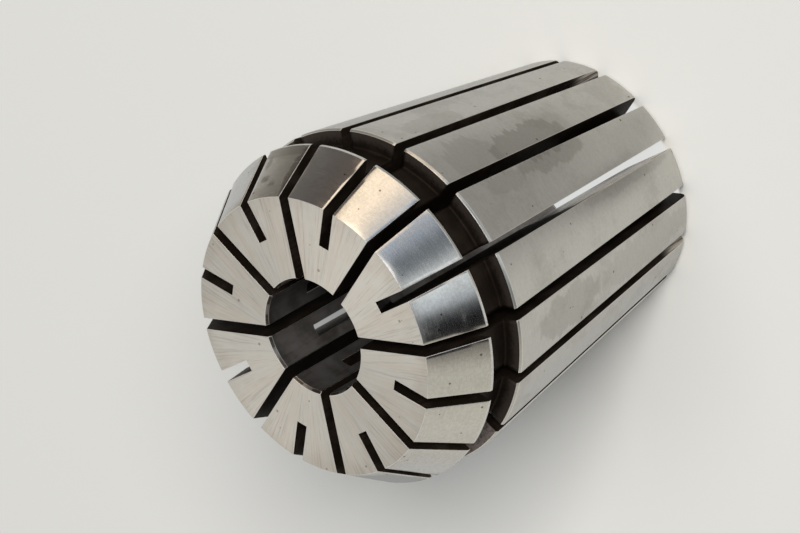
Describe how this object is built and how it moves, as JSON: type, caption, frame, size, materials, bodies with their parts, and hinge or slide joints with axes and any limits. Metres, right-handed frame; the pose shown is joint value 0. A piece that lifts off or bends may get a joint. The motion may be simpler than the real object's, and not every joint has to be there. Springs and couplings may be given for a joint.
{
  "type": "er collet",
  "caption": "Tapered spring collet, standing on its small end: straight clamping bore, short nose cone, nut groove behind it, and narrow slots sawn turn about from both ends.",
  "frame": {"origin": "centre of the rear face, which the collet stands on", "axes": "+Z along the bore axis from the rear face to the nose face; +X through the middle of a slot that is sawn from the nose"},
  "size_m": [0.033, 0.033, 0.04],
  "materials": {
    "spring_steel": "ground and lightly stained hardened spring steel, matt on the nose face, darker and oily in the groove and slots"
  },
  "bodies": {
    "root": {"collet": "spring_steel"}
  },
  "joints": []
}
